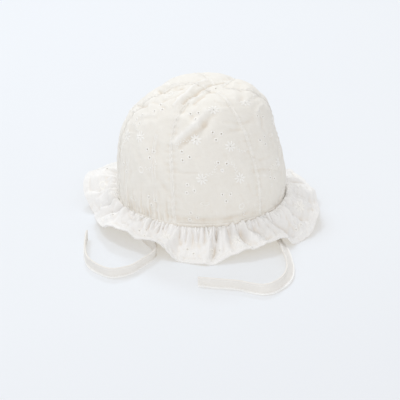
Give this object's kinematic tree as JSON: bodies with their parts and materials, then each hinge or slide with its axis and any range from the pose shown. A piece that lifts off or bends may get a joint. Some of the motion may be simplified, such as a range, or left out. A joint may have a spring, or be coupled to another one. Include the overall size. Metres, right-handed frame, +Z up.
{
  "type": "baby bonnet",
  "caption": "Eyelet cotton baby sun bonnet: gored crown, topstitched seam band, gathered ruffle brim that stands on its hem, and flat cotton ties.",
  "frame": {"origin": "middle of the hat's own box, ties left out, on the floor that the brim's hem rests on", "axes": "+Z up through the crown; the side that faces the picture's camera is towards -Y, and +X is to that camera's right"},
  "size_m": [0.2146, 0.2611, 0.1284],
  "materials": {
    "crown_cotton": "matte eyelet cotton",
    "band_cotton": "matte topstitched cotton",
    "ruffle_cotton": "matte eyelet cotton",
    "tie_cotton": "matte plain cotton"
  },
  "bodies": {
    "root": {"gore_front_right": "crown_cotton", "gore_right": "crown_cotton", "gore_back_right": "crown_cotton", "gore_back_left": "crown_cotton", "gore_left": "crown_cotton", "gore_front_left": "crown_cotton", "base_band": "band_cotton", "ruffle_brim": "ruffle_cotton", "tie_left": "tie_cotton", "tie_right": "tie_cotton"}
  },
  "joints": []
}
